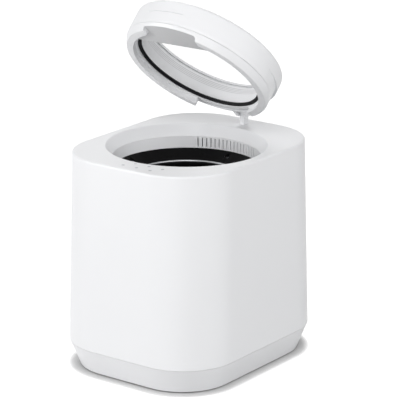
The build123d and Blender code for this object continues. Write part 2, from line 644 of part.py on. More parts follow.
save("output_gear", gear(OUTPUT_TEETH, OPENING_Y, *UPPER, SHAFT_RADIUS, 90.0) + gear_hub)
small = gear(SMALL_TEETH, IDLER_Y, LOWER[1], UPPER[1], PIN_RADIUS + RUN, 270.0 + 180.0 / SMALL_TEETH)
large = gear(LARGE_TEETH, IDLER_Y, *LOWER, PIN_RADIUS + RUN, 90.0)
save("idler_gear", large + small)
PIN_TOP = GEARBOX_TOP + COVER_THICK / 2
save("idler_pin", post(0, IDLER_Y, PIN_FOOT, PIN_TOP, PIN_RADIUS))
save("motor_pinion", gear(PINION_TEETH, MOTOR_Y, *LOWER, MOTOR_SHAFT, 270.0 + 180.0 / PINION_TEETH))


def gearbox_outline(inset):
    """The box round the gear train: three circles and the straight sides between them."""
    around_output = MODULE * OUTPUT_TEETH / 2 + 7.5
    around_idler = MODULE * LARGE_TEETH / 2 + 8.0
    rounds = [(OPENING_Y, around_output), (IDLER_Y, around_idler), (MOTOR_Y, MOTOR_RADIUS + 3)]
    edges = [Pos(0, y) * CenterArc((0, 0), radius - inset, 0, 360) for y, radius in rounds]
    return make_hull([piece.edges()[0] for piece in edges])


PAN_FLOOR = GEARBOX_FLOOR + GEARBOX_WALL
pan = Pos(0, 0, GEARBOX_FLOOR) * extrude(gearbox_outline(0), GEARBOX_DEEP)
gear_room = Pos(0, 0, PAN_FLOOR) * extrude(gearbox_outline(GEARBOX_WALL), GEARBOX_DEEP)
pan -= gear_room
pan += post(0, OPENING_Y, GEARBOX_FLOOR + 1, LOWER[0] + 3.6, 2 * SHAFT_RADIUS)
pan += post(0, IDLER_Y, GEARBOX_FLOOR + 1, LOWER[0] - 0.4, 2 * PIN_RADIUS)
pan -= post(0, OPENING_Y, PIN_FOOT, GEARBOX_TOP, SHAFT_RADIUS + RUN)
pan -= post(0, IDLER_Y, PIN_FOOT, GEARBOX_TOP, PIN_RADIUS)
ear_x = (MODULE * 27, MODULE * 23.5, MODULE * 13.5)
ear_y = (OPENING_Y + 45.2, OPENING_Y - 37.8, MOTOR_Y + 17.2)
EARS = [(side * x, y) for x, y in zip(ear_x, ear_y) for side in (-1, 1)]
for x, y in EARS:
    pan += post(x, y, GEARBOX_TOP - 12, GEARBOX_TOP, POST_RADIUS) - gear_room
    pan -= post(x, y, GEARBOX_TOP - 11, GEARBOX_TOP + 1, SCREW_RADIUS + RUN)
for x, y in GEARBOX_POSTS:
    pan -= post(x, y, GEARBOX_FLOOR - 1, PAN_FLOOR + 1, SCREW_RADIUS + RUN)
save("gearbox_pan", pan)
cover = Pos(0, 0, GEARBOX_TOP) * extrude(gearbox_outline(0), COVER_THICK)
for x, y in EARS:
    cover += post(x, y, GEARBOX_TOP, TOWER_FOOT, POST_RADIUS)
    cover -= post(x, y, GEARBOX_TOP - 1, TOWER_FOOT + 1, SCREW_RADIUS + RUN)
NOSE_RADIUS = MOTOR_SHAFT + 5
cover -= post(0, OPENING_Y, GEARBOX_TOP - 1, TOWER_FOOT + 1, SHAFT_RADIUS + RUN)
cover -= post(0, IDLER_Y, GEARBOX_TOP - 1, PIN_TOP, PIN_RADIUS)
cover -= post(0, MOTOR_Y, GEARBOX_TOP - 1, TOWER_FOOT + 1, NOSE_RADIUS)
save("gearbox_cover", cover)
cover_screws = [screw(x, y, TOWER_FOOT, 12, up=False) for x, y in EARS]
pan_screws = [screw(x, y, PAN_FLOOR, 12, up=False) for x, y in GEARBOX_POSTS]
save("gearbox_screws", *cover_screws, *pan_screws)
BEARING_SEAT = WELL_FLOOR - 2 * BEARING_THICK
tower_in = SHAFT_RADIUS + 2
tower_mid = BEARING_RADIUS + 6
save("shaft_tower", turned(
    (tower_in, TOWER_FOOT),
    (tower_mid + 15, TOWER_FOOT),
    (tower_mid + 15, TOWER_FOOT + 3),
    (tower_mid, TOWER_FOOT + 6),
    (tower_mid, WELL_FLOOR - 6),
    (tower_mid + 11, WELL_FLOOR - 3),
    (tower_mid + 11, WELL_FLOOR),
    (BEARING_RADIUS + RUN, WELL_FLOOR),
    (BEARING_RADIUS + RUN, BEARING_SEAT),
    (tower_in, BEARING_SEAT),
))
save("shaft_bearing", turned(
    (SHAFT_RADIUS + RUN, BEARING_SEAT),
    (BEARING_RADIUS, BEARING_SEAT),
    (BEARING_RADIUS, BEARING_SEAT + BEARING_THICK),
    (SHAFT_RADIUS + RUN, BEARING_SEAT + BEARING_THICK),
))
MOTOR_TOP = TOWER_FOOT + MOTOR_LENGTH
motor = post(0, MOTOR_Y, TOWER_FOOT, MOTOR_TOP, MOTOR_RADIUS)
motor += post(0, MOTOR_Y, GEARBOX_TOP + 0.5, TOWER_FOOT + 1, NOSE_RADIUS - 0.1)
motor -= post(0, MOTOR_Y, GEARBOX_TOP, MOTOR_TOP - 4, MOTOR_SHAFT + RUN)
for turn in range(6):
    motor -= Pos(0, MOTOR_Y, MOTOR_TOP) * Rot(0, 0, 60 * turn) * Pos(0.68 * MOTOR_RADIUS, 0, 0) * Box(8, 4, 4)
save("motor", motor)
save("motor_shaft", post(0, MOTOR_Y, LOWER[0] - 1, MOTOR_TOP - 8, MOTOR_SHAFT))

# ==== filter, fan, boards ==========================================================================
hollow_x = HOUSING_HALF - SKIN
hollow_y = HOUSING_FRONT + SKIN
housing = block(-HOUSING_HALF, HOUSING_HALF, HOUSING_FRONT, HOUSING_BACK, HOUSING_LOW, HOUSING_HIGH)
housing -= block(-hollow_x, hollow_x, hollow_y, HOUSING_BACK + 1, SHELF_TOP, HOUSING_HIGH - SKIN)
housing -= block(-hollow_x, hollow_x, hollow_y, HOUSING_BACK + 1, HOUSING_LOW + SKIN, SHELF_TOP - SHELF)
FAN_Y = (HOUSING_FRONT + HOUSING_BACK) / 2
FAN_RADIUS = (HOUSING_BACK - HOUSING_FRONT) / 2 - 7
housing -= post(0, FAN_Y, SHELF_TOP - SHELF - 1, SHELF_TOP + 1, FAN_RADIUS - 4)
duct = block(-40, 40, HOUSING_FRONT + 9, HOUSING_BACK - 7, HOUSING_HIGH - SKIN - 1, HOUSING_HIGH + 3)
housing -= duct
for side in (-1, 1):
    for z in LEDGES:
        x1 = side * (HOUSING_HALF + LEDGE_DEEP + 1)
        housing += block(side * HOUSING_HALF, x1, HOUSING_BACK - 3, HOUSING_BACK, z, z + LEDGE_DEEP)
save("filter_housing", housing)

hood_x = HOUSING_HALF + 7
hood_top = DISH_LEVEL - 0.1
hood = block(-hood_x, hood_x, HOUSING_FRONT + 1, HOUSING_BACK - 5, HOUSING_HIGH, hood_top)
hood_in = hood_x - 2
hood -= block(-hood_in, hood_in, HOUSING_FRONT - THROUGH, HOUSING_BACK - 7, HOUSING_HIGH + 2, hood_top - 2)
hood -= post(0, OPENING_Y, HOUSING_HIGH - 1, THROAT_FOOT + FIT, THROAT_RADIUS + 1.6 * WALL + 0.4)
hood -= post(0, OPENING_Y, HOUSING_HIGH - 1, BODY_HEIGHT, throat_out + FIT)
hood -= duct
save("air_hood", hood)

drawer_x = FILTER_HALF - DRAWER_GAP
panel = walls(FILTER_LOW - 5, FILTER_HIGH + 5) - walls(FILTER_LOW - 6, FILTER_HIGH + 6, WALL)
panel_low = FILTER_LOW + DRAWER_GAP
behind = block(-drawer_x, drawer_x, REAR - 26, REAR + THROUGH, panel_low, FILTER_HIGH - DRAWER_GAP)
frame_x = FILTER_HALF - 2
frame = block(-frame_x, frame_x, HOUSING_FRONT + 4, REAR, SHELF_TOP, FILTER_HIGH - 2)
frame &= walls(FILTER_LOW - 5, FILTER_HIGH + 5, WALL / 2)
tray_x = frame_x - 2
frame -= block(-tray_x, tray_x, HOUSING_FRONT + 6, HOUSING_BACK - 3, SHELF_TOP + 2, FILTER_HIGH + 4)
GRILLE = FILTER_HALF / 5.11
for i in range(-4, 5):
    middle = GRILLE * i
    x0 = middle - 2.5
    frame -= block(x0, x0 + 5, HOUSING_FRONT + 9, HOUSING_BACK - 6, SHELF_TOP - 1, SHELF_TOP + 3)
drawer = (panel & behind) + frame
drawer -= on_rear(0, FILTER_HIGH - 14) * Box(40, 3.6, 12)
drawer -= on_rear(0, FILTER_HIGH - 9.5) * Pos(0, -2, 0) * Box(40, 5, 3)
save("filter_drawer", drawer)
block_x = tray_x - 0.3
carbon = block(-block_x, block_x, HOUSING_FRONT + 6.3, HOUSING_BACK - 3.3, SHELF_TOP + 2, FILTER_HIGH - 8)
for i in range(-4, 5):
    middle = GRILLE * i
    carbon -= block(middle - 1.5, middle + 1.5, HOUSING_FRONT + 11, HOUSING_BACK - 8, SHELF_TOP, FILTER_HIGH)
save("carbon_block", carbon)

FAN_PIN = 1.5
FAN_FOOT = HOUSING_LOW + 13.5
FAN_TOP = FAN_FOOT + 16.5
fan_hub = 0.4545 * FAN_RADIUS
fan = post(0, FAN_Y, FAN_FOOT, FAN_TOP, fan_hub)
vane = block(0, 0.64 * FAN_RADIUS, -0.7, 0.7, FAN_FOOT, FAN_TOP)
for i in range(9):
    fan += Pos(0, FAN_Y, 0) * Rot(0, 0, 40 * i) * Pos(0.9 * fan_hub, 0, 0) * Rot(0, 0, 24) * vane
fan &= post(0, FAN_Y, FAN_FOOT - 1, FAN_TOP + 1, FAN_RADIUS)
fan -= post(0, FAN_Y, FAN_FOOT - 1, FAN_TOP - 4, FAN_PIN + RUN)
save("fan_rotor", fan)
fan_motor = post(0, FAN_Y, HOUSING_LOW + SKIN, FAN_FOOT - 1, 0.545 * FAN_RADIUS)
save("fan_motor", fan_motor + post(0, FAN_Y, FAN_FOOT - 2, FAN_TOP - 4.5, FAN_PIN))

BOARD_BACK = BOARD_FRONT + BOARD_DEEP
BOARD_TOP = BOARD_LEVEL + BOARD_THICK
board = block(-BOARD_HALF, BOARD_HALF, BOARD_FRONT, BOARD_BACK, BOARD_LEVEL, BOARD_TOP)
for x, y in BOARD_POSTS:
    board -= post(x, y, BOARD_LEVEL - 1, BOARD_TOP + 1, SMALL_SCREW + 0.3)
save("main_board", board)


def component(x0, x1, y0, y1, tall):
    """A boxed component on the main board, y measured from the board's front edge."""
    return block(x0, x1, BOARD_FRONT + y0, BOARD_FRONT + y1, BOARD_TOP, BOARD_TOP + tall)


def can(x, y, radius, tall):
    """A round component on the main board."""
    return post(x, BOARD_FRONT + y, BOARD_TOP, BOARD_TOP + tall, radius)


save("board_parts",
     component(-62, -30, 14, 46, 26),
     can(-12, 18, 9, 24),
     can(-12, 42, 9, 24),
     component(8, 36, 8, 18, 16),
     component(8, 36, 28, 52, 2.5),
     component(46, 66, 14, 36, 15),
     component(44, 64, 44, 52, 11))
save("board_screws", *[screw(x, y, BOARD_TOP, 8, up=False, shank=SMALL_SCREW) for x, y in BOARD_POSTS])

KEY_BOARD = PANEL_TOP - BOARD_THICK
keys = block(KEY_ENDS[0] - 6, KEY_ENDS[1] + 6, KEY_ROWS[0] - 5, KEY_ROWS[1] + 4.5, KEY_BOARD, PANEL_TOP)
for x in KEY_ENDS:
    keys -= post(x, KEY_MIDDLE, KEY_BOARD - 1, PANEL_TOP + 1, SMALL_SCREW + 0.3)
save("key_board", keys)
save("key_lights", *[post(x, y, PANEL_TOP, BODY_HEIGHT, KEY_RADIUS) for x, y in KEYS])
panel_screws = [screw(x, KEY_MIDDLE, KEY_BOARD, KEY_PANEL, shank=SMALL_SCREW - RUN) for x in KEY_ENDS]
save("key_screws", *panel_screws)

# ==== lid and its hinge =============================================================================
lid_in = LID_RADIUS - LID_WALL
SEAT_TOP = WINDOW_SEAT + WINDOW_THICK
arc = [math.radians(22.5 * i) for i in range(5)]
centre = (LID_RADIUS - LID_EDGE, LID_HEIGHT - LID_EDGE)
top_edge = [(centre[0] + LID_EDGE * math.cos(a), centre[1] + LID_EDGE * math.sin(a)) for a in arc]
lid = lid_turned(
    (LID_RADIUS - 0.6, 0.6),
    (LID_RADIUS - 0.2, 5),
    (LID_RADIUS, RECESS_HIGH + 4),
    *top_edge,
    (WINDOW_CLEAR + 0.8, LID_HEIGHT),
    (WINDOW_CLEAR, LID_HEIGHT - 0.7),
    (WINDOW_CLEAR, SEAT_TOP),
    (WINDOW_RADIUS + FIT, SEAT_TOP),
    (WINDOW_RADIUS + FIT, SEAT_TOP - 1),
    (lid_in - 5.4, SEAT_TOP - 1),
    (lid_in - 2, SEAT_TOP - 3),
    (lid_in, SEAT_TOP - 8),
    (lid_in, 0.6),
)
boss_at = LID_RADIUS - 9
for boss in ring_of(post(boss_at, OPENING_Y, PARTING + RECESS_HIGH, PARTING + SEAT_TOP - 0.5, 3.6), 6, 30):
    lid += boss
for boss in ring_of(post(boss_at, OPENING_Y, PARTING + 5.4, PARTING + RECESS_HIGH + 1, 3.6), 2, 210):
    lid += boss
lid += post(0, OPENING_Y - boss_at, PARTING + 5.4, PARTING + RECESS_HIGH + 1, 3.6)


def set_in(s0, s1, radius):
    """An upright cylinder whose axis stands ahead of the lid's by the recess."""
    return post(0, OPENING_Y - RECESS, PARTING + s0, PARTING + s1, radius)


ledge_top = RECESS_HIGH + LID_WALL - 0.4
whole = post(0, OPENING_Y, PARTING + 0.6, PARTING + ledge_top, LID_RADIUS - 0.3)
liner = set_in(0.6, ledge_top, LID_RADIUS - 0.1) - set_in(0, ledge_top + 1, LID_RADIUS - LID_WALL)
ledge = post(0, OPENING_Y, PARTING + RECESS_HIGH, PARTING + ledge_top, LID_RADIUS - 0.3)
ledge -= set_in(0, ledge_top + 1, LID_RADIUS - LID_WALL)
lid += (liner & whole) + ledge
around = post(0, OPENING_Y, PARTING - 1, PARTING + RECESS_HIGH, LID_RADIUS + THROUGH)
lid -= around - set_in(-2, RECESS_HIGH + 1, LID_RADIUS - 0.1)
PLATE_Y = OPENING_Y + LID_RADIUS - RECESS + 1.4
PLATE_HALF = 20.0
PLATE_LOW = PARTING + 3
PLATE_HIGH = PARTING + RECESS_HIGH - 2
pad = block(-PLATE_HALF, PLATE_HALF, PLATE_Y - 8, PLATE_Y, PLATE_LOW, PLATE_HIGH)
lid += pad - set_in(0, RECESS_HIGH + 1, LID_RADIUS - LID_WALL / 2)
SLIT_LOW = RECESS_HIGH + 0.3
SLIT_HIGH = SLIT_LOW + 1.2
SLIT_DEEP = 1.3
SLIT_MIDDLE = 265.0         # bearing
SLIT_SPREAD = 32.0          # degrees
slit_out = LID_RADIUS + 3
slit_in = LID_RADIUS - SLIT_DEEP
slit = [(slit_in, SLIT_LOW), (slit_out, SLIT_LOW), (slit_out, SLIT_HIGH), (slit_in, SLIT_HIGH)]
lid -= sector(slit, SLIT_MIDDLE, SLIT_SPREAD)
save("lid_shell", opened(lid))

flange = lid_in - FIT
step = WINDOW_RADIUS - RING_INNER
ring = lid_turned(
    (flange, 5.2),
    (flange, 0.3),
    (LID_RADIUS - 0.8, 0.3),
    (LID_RADIUS - 0.5, -0.6),
    (SKIRT_FOOT + 0.8, -SKIRT_DROP + 0.6),
    (SKIRT_FOOT, -SKIRT_DROP),
    (SKIRT_INNER, -SKIRT_DROP),
    (SKIRT_INNER, -4),
    (RING_INNER + 0.6, SHOULDER),
    (RING_INNER + 0.6, 0.2),
    (RING_INNER + 2.9, 0.2),
    (RING_INNER + 2.9, GASKET_SEAT),
    (RING_INNER, GASKET_SEAT),
    (RING_INNER + 0.6, 22),
    (RING_INNER + 1.3, 22.3),
    (RING_INNER + 1.3, 24.7),
    (RING_INNER + 1.9, 25),
    (RING_INNER + 1.9, 27.3),
    (RING_INNER + 2.4, 27.6),
    (RING_INNER + 2.4, 29.9),
    (RING_INNER + 2.9, 30.2),
    (RING_INNER + 2.9, WINDOW_SEAT),
    (RING_INNER + step + 1, WINDOW_SEAT),
    (RING_INNER + step + 0.4, 7),
    (RING_INNER + step + 1.8, 5.2),
)
edge = LID_RADIUS + THROUGH
skirt_room = [(RING_INNER - 5, SHOULDER), (edge, SHOULDER), (edge, -15), (RING_INNER - 5, -15)]
ring -= sector(skirt_room, 90, 2 * REAR_GAP)
groove_in = SKIRT_INNER + 3
groove_out = LID_RADIUS - RECESS - 2.2
groove = [(groove_in, SHOULDER - 1), (groove_out, SHOULDER - 1), (groove_out, 1.6), (groove_in, 1.6)]
ring -= sector(groove, 90, 2 * REAR_GAP - 4)
web = post(0, OPENING_Y, PARTING + NOTCH_LEVEL, PARTING + NOTCH_LEVEL + 2.5, SKIRT_INNER + 1)
ahead = OPENING_Y - LID_RADIUS - THROUGH
ring += web & block(-edge, edge, ahead, OPENING_Y - WEB_CHORD, PARTING - 20, PARTING + 20)
notch = block(-NOTCH_LEFT, NOTCH_RIGHT, ahead, OPENING_Y - 20, PARTING - 20, PARTING + NOTCH_LEVEL)
notch = fillet(notch.edges().filter_by(Axis.Y).sort_by(Axis.Z)[-2:], NOTCH_ROUND)
ring -= notch
around = post(0, OPENING_Y, PARTING - 20, PARTING + 0.3, edge)
ring -= around - set_in(-21, 1, LID_RADIUS - 0.1)
around = post(0, OPENING_Y, PARTING + 0.3, PARTING + 6, edge)
ring -= around - set_in(0, 7, flange)
save("lid_ring", opened(ring))
gasket_out = RING_INNER + 2.7
gasket_top = GASKET_SEAT - FIT
save("lid_gasket", opened(lid_turned(
    (gasket_out, 0.5),
    (gasket_out, gasket_top),
    (gasket_out - 5.3, gasket_top),
    (gasket_out - 7, (0.5 + gasket_top) / 2),
    (gasket_out - 5.3, 0.5),
)))
save("lid_window", opened(lid_turned(
    (0, WINDOW_SEAT),
    (WINDOW_RADIUS, WINDOW_SEAT),
    (WINDOW_RADIUS, SEAT_TOP),
    (0, SEAT_TOP),
)))

ARM_IN = EAR_HALF + ARM_GAP
ARM_OUT = ARM_IN + ARM_WIDTH
ARM_LOW = HINGE_Z - 9
ARM_HIGH = min(HINGE_Z - 1.4, PLATE_HIGH)
arms = block(-PLATE_HALF, PLATE_HALF, PLATE_Y, PLATE_Y + 3, PLATE_LOW, PLATE_HIGH)
for side in (-1, 1):
    arms += block(side * ARM_IN, side * ARM_OUT, PLATE_Y + 1, HINGE_Y, ARM_LOW, ARM_HIGH)
    arms += rod(side * ARM_IN, side * ARM_OUT, HINGE_Y, HINGE_Z, KNUCKLE)
arms -= rod(-ARM_OUT - 1, ARM_OUT + 1, HINGE_Y, HINGE_Z, HINGE_PIN + RUN)
save("hinge_arms", opened(arms))
plate_x = HINGE_SCREWS + 5
stand = block(-plate_x, plate_x, HINGE_Y - 7.5, HINGE_Y + 7.5, HINGE_PLATE, HINGE_PLATE_TOP)
stand += block(-EAR_HALF, EAR_HALF, HINGE_Y - KNUCKLE, HINGE_Y + KNUCKLE, HINGE_PLATE, HINGE_Z)
stand += rod(-EAR_HALF, EAR_HALF, HINGE_Y, HINGE_Z, KNUCKLE)
stand -= rod(-EAR_HALF - 1, EAR_HALF + 1, HINGE_Y, HINGE_Z, HINGE_PIN)
for x in (-HINGE_SCREWS, HINGE_SCREWS):
    stand -= post(x, HINGE_Y, HINGE_PLATE - 1, HINGE_PLATE_TOP + 1, SCREW_RADIUS + RUN)
save("hinge_block", stand)
save("hinge_pin", rod(0.4 - ARM_OUT, ARM_OUT - 0.4, HINGE_Y, HINGE_Z, HINGE_PIN))
save("hinge_screws", *[screw(x, HINGE_Y, HINGE_PLATE, 10) for x in (-HINGE_SCREWS, HINGE_SCREWS)])
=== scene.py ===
import json
import math

import bpy
import numpy as np
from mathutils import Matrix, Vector


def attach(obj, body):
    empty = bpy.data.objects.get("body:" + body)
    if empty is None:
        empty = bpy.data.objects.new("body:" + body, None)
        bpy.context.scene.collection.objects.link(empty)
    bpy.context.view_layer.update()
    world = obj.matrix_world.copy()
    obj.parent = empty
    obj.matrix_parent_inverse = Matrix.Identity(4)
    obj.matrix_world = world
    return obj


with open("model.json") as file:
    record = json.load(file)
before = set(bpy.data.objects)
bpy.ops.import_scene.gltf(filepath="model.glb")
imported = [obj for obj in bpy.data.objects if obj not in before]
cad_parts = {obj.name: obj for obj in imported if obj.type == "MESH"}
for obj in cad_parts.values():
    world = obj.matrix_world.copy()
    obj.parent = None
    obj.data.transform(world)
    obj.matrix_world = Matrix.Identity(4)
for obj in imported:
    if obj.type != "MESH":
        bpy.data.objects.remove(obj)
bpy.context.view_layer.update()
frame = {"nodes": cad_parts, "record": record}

# ---- places that the frame gives, in metres -----------------------------------------------------
# On the lid, "over" means over its parting line, square to the open lid, and "ahead" means forward
# of the hinge, along the open lid.

MOUTH_Y = -0.0072                 # the round mouth's axis
HINGE = (0.0, 0.1336, 0.3384)     # the lid's hinge axis runs along X through here
LID_OPEN = math.radians(45.0)     # how far the lid stands open
PARTING = 0.321                   # height of the lid's parting line when it is closed
MOUTH_AHEAD = HINGE[1] - MOUTH_Y  # the mouth's axis, ahead

STEP_FEET = (0.0222, 0.0249, 0.0275, 0.0301)  # foot of each fine step of the lining, over
STEP_SHADE_HALF = 0.0007          # half the width of the painted shade at a foot
STEP_SHADE = 0.6                  # how much of the painted shade colour is at a foot
SHADED_FROM, SHADED_TO = 0.012, 0.031         # painted shade grows on the lining between these, over
WINDOW_SHADE = 0.10               # how much of the painted shade colour is next to the window
SHADE_COLOUR = 0.40               # the painted shade's colour, as a part of the lining's own
WEB_LEVEL = -0.0050               # underside of the web behind the notch, over; painted shade goes there
WEB_FACE_HALF = 0.0002            # what counts as that underside, to each side of its level
WEB_CHORD = 0.066                 # the web's straight edge, ahead of the mouth's axis
WEB_RADIUS = 0.1115               # how far out the underside goes, from the axis
SKIRT_TOP = 0.001                 # the skirt ends here, over
SKIRT_OUTSIDE = 0.1075            # its outer face lies past this distance from the axis

BEAD_RADIUS = 0.10063             # window bead: middle of its section, from the axis
BEAD_LEVEL = 0.0340               # and over
BEAD_HALF_WIDTH = 0.00038
BEAD_HALF_HEIGHT = 0.00095
BEAD_STEPS_ROUND = 180            # grid steps round the ring
BEAD_STEPS_ACROSS = 16            # and round its section


# ---- shader sums --------------------------------------------------------------------------------

class Term:
    """A shader socket that can be added, multiplied and so on as in ordinary sums."""

    def __init__(self, paint, socket):
        self.paint = paint
        self.socket = socket

    def _sum(self, kind, first, second):
        node = self.paint.make("ShaderNodeMath", {"operation": kind}, {0: first, 1: second})
        return Term(self.paint, node.outputs[0])

    def __add__(self, other):
        return self._sum("ADD", self, other)

    def __radd__(self, other):
        return self._sum("ADD", other, self)

    def __sub__(self, other):
        return self._sum("SUBTRACT", self, other)

    def __rsub__(self, other):
        return self._sum("SUBTRACT", other, self)

    def __mul__(self, other):
        return self._sum("MULTIPLY", self, other)

    def __rmul__(self, other):
        return self._sum("MULTIPLY", other, self)

    def __truediv__(self, other):
        return self._sum("DIVIDE", self, other)

    def __pow__(self, other):
        return self._sum("POWER", self, other)

    def sine(self):
        return self._sum("SINE", self, 0.0)

    def above(self, level):
        """1 where this is greater than the level, otherwise 0."""
        return self._sum("GREATER_THAN", self, level)

    def at_most(self, level):
        return self._sum("MINIMUM", self, level)

    def at_least(self, level):
        return self._sum("MAXIMUM", self, level)

    def near(self, level, half):
        """1 at the level, falling along a parabola to 0 at this distance on either side."""
        off = (self - level) / half
        return (1.0 - off * off).at_least(0.0)


class Paint:
    """A shader and the nodes that feed it, built by plain calls: a finish, or the room's light."""

    def __init__(self, name, makes=bpy.data.materials, shader="Principled BSDF"):
        self.material = makes.new(name)
        self.material.use_nodes = True
        self.tree = self.material.node_tree
        self.shader = self.tree.nodes[shader]

    def make(self, kind, settings=None, inputs=None):
        """One node: its settings first, then values or links for its sockets."""
        node = self.tree.nodes.new(kind)
        for key, value in (settings or {}).items():
            setattr(node, key, value)
        for key, value in (inputs or {}).items():
            self.feed(node.inputs[key], value)
        return node

    def feed(self, socket, value):
        """Link a term or an output to a socket, or set the socket to a plain value."""
        if isinstance(value, Term):
            self.tree.links.new(value.socket, socket)
        elif isinstance(value, bpy.types.NodeSocket):
            self.tree.links.new(value, socket)
        else:
            socket.default_value = value

    def put(self, **values):
        """Values or links for the shader itself, with underscores for spaces."""
        for key, value in values.items():
            self.feed(self.shader.inputs[key.replace("_", " ")], value)

    def place(self):
        """The point on the object, in metres."""
        return self.make("ShaderNodeTexCoord").outputs["Object"]

    def axis(self, letter):
        """One coordinate of that point."""
        node = self.make("ShaderNodeSeparateXYZ", None, {0: self.place()})
        return Term(self, node.outputs[letter])

    def cloud(self, scale, detail, rough):
        """Soft noise, 0 to 1."""
        node = self.make("ShaderNodeTexNoise", None, {
            "Vector": self.place(), "Scale": scale, "Detail": detail, "Roughness": rough})
        return Term(self, node.outputs["Fac"])

    def cells(self, scale, feature="F1"):
        """Distance in a pattern of random cells."""
        node = self.make("ShaderNodeTexVoronoi", {"feature": feature}, {
            "Vector": self.place(), "Scale": scale})
        return Term(self, node.outputs["Distance"])

    def tint(self, factor, low, high):
        """A colour between two, by a factor. Each is three numbers or another node's colour."""
        low, high = ((*c, 1.0) if isinstance(c, tuple) else c for c in (low, high))
        node = self.make("ShaderNodeMix", {"data_type": "RGBA"}, {
            "Factor": factor, "A": low, "B": high})
        return node.outputs["Result"]

    def span(self, value, low, high, to_low, to_high):
        """A value's run from low to high, carried to another run and held at its ends."""
        node = self.make("ShaderNodeMapRange", None, {
            "Value": value, "From Min": low, "From Max": high,
            "To Min": to_low, "To Max": to_high})
        return Term(self, node.outputs[0])

    def bump(self, height, depth, strength):
        """A relief of this depth in metres."""
        node = self.make("ShaderNodeBump", None, {
            "Height": height, "Distance": depth, "Strength": strength})
        return node.outputs[0]

    def over_parting(self):
        """Height over the lid's parting line: the sum of the two ways from the hinge, turned."""
        up = self.axis("Y") - HINGE[1] + (self.axis("Z") - HINGE[2])
        return up * math.cos(LID_OPEN) + (HINGE[2] - PARTING)

    def ahead_of_hinge(self):
        """How far forward of the hinge: the difference of the same two ways, turned."""
        forward = self.axis("Z") - HINGE[2] - (self.axis("Y") - HINGE[1])
        return forward * math.cos(LID_OPEN)


# ---- finishes -----------------------------------------------------------------------------------
# A cloud's or cell pattern's scale is in features to the metre, and a bump's depth is in metres.

SPARK_SCALE = 2600.0              # spark-eroded grain of the mouldings
SPARK_DEPTH = 0.00002
FLOW_SCALE = 6.0                  # slow marks of the plastic's flow


def shade(colour, by):
    """A colour made lighter or darker by a factor, up to white."""
    return tuple(min(1.0, c * by) for c in colour)


def flowed(p, colour):
    """A moulding's colour with its flow marks."""
    flow = p.cloud(FLOW_SCALE, detail=3.0, rough=0.5)
    return p.tint(flow, shade(colour, 0.985), shade(colour, 1.01))


def satin_moulding(name, colour, rough):
    """Injection-moulded plastic: fine spark grain, slow flow marks, faint handling smudges."""
    p = Paint(name)
    spark = p.cloud(SPARK_SCALE, detail=2.0, rough=0.6)
    smudge = p.cloud(28.0, detail=4.0, rough=0.6)
    p.put(Base_Color=flowed(p, colour),
          Roughness=rough + 0.10 * (smudge - 0.5) + 0.05 * (spark - 0.5),
          Normal=p.bump(spark, depth=SPARK_DEPTH, strength=0.6), IOR=1.47)
    return p.material


def lined_moulding(name, lining_painted_lighter, skirt, web_shade):
    """The lid ring's moulding, in three colours: its lining, its skirt and painted shade on its
    web.

    The lining has painted shade at the foot of each fine step, and more painted shade towards the
    window. The skirt's outer face has its own colour, and the underside of the web behind the
    notch has painted shade.
    """
    p = Paint(name)
    spark = p.cloud(SPARK_SCALE, detail=2.0, rough=0.6)
    over, ahead, aside = p.over_parting(), p.ahead_of_hinge(), p.axis("X")
    from_mouth = ahead - MOUTH_AHEAD
    from_axis = (aside * aside + from_mouth * from_mouth) ** 0.5

    # painted shade at the foot of each fine step of the lining, standing in for shade in the
    # creases
    painted_shade_at_feet = sum(over.near(foot, STEP_SHADE_HALF) for foot in STEP_FEET)
    # painted shade that grows over the lining towards the window
    painted_shade_by_window = p.span(over, SHADED_FROM, SHADED_TO, 0.0, WINDOW_SHADE)
    lining_with_painted_shade = p.tint((painted_shade_at_feet * STEP_SHADE + painted_shade_by_window).at_most(1.0),
                   flowed(p, lining_painted_lighter), shade(lining_painted_lighter, SHADE_COLOUR))

    on_skirt = p.span(over, 0.0, SKIRT_TOP, 1.0, 0.0) * from_axis.above(SKIRT_OUTSIDE)
    # painted shade on the underside of the web behind the notch, where it faces down into shade
    web_face = (over.above(WEB_LEVEL - WEB_FACE_HALF)
                * (1.0 - over.above(WEB_LEVEL + WEB_FACE_HALF)))
    web_shade_mask = (web_face * ahead.above(MOUTH_AHEAD + WEB_CHORD)
              * (1.0 - from_axis.above(WEB_RADIUS)))
    p.put(Base_Color=p.tint(web_shade_mask, p.tint(on_skirt, lining_with_painted_shade, skirt), web_shade),
          Roughness=0.38 + 0.05 * (spark - 0.5),
          Normal=p.bump(spark, depth=SPARK_DEPTH, strength=0.6), IOR=1.47)
    return p.material


def non_stick(name, colour):
    """Sprayed non-stick coat: orange peel, tiny grey flecks, soft gloss."""
    p = Paint(name)
    peel = p.cloud(900.0, detail=2.0, rough=0.5)
    wear = p.cloud(40.0, detail=4.0, rough=0.6)
    flecks = p.span(p.cells(700.0), 0.06, 0.14, 0.35, 0.0)
    p.put(Base_Color=p.tint(flecks, colour, FLECK_GREY), Roughness=0.34 + 0.14 * wear,
          Normal=p.bump(peel, depth=0.00004, strength=0.5), IOR=1.17)
    return p.material


def turned_metal(name, colour, rough, pitch):
    """Metal turned or spun about the mouth's axis.

    The rings are the sine of the distance from the axis times the pitch, with a little drift.
    """
    p = Paint(name)
    x, y = p.axis("X"), p.axis("Y") - MOUTH_Y
    radius = (x * x + y * y) ** 0.5
    drift = p.cloud(30.0, detail=2.0, rough=0.5)
    rings = (radius * pitch + drift * 6.0).sine() * 0.5 + 0.5
    fine = p.cloud(900.0, detail=2.0, rough=0.5)
    p.put(Base_Color=p.tint(drift, shade(colour, 0.9), shade(colour, 1.04)), Metallic=1.0,
          Roughness=rough + 0.08 * (fine - 0.5) + 0.05 * rings,
          Normal=p.bump(rings, depth=0.00001, strength=0.35))
    return p.material


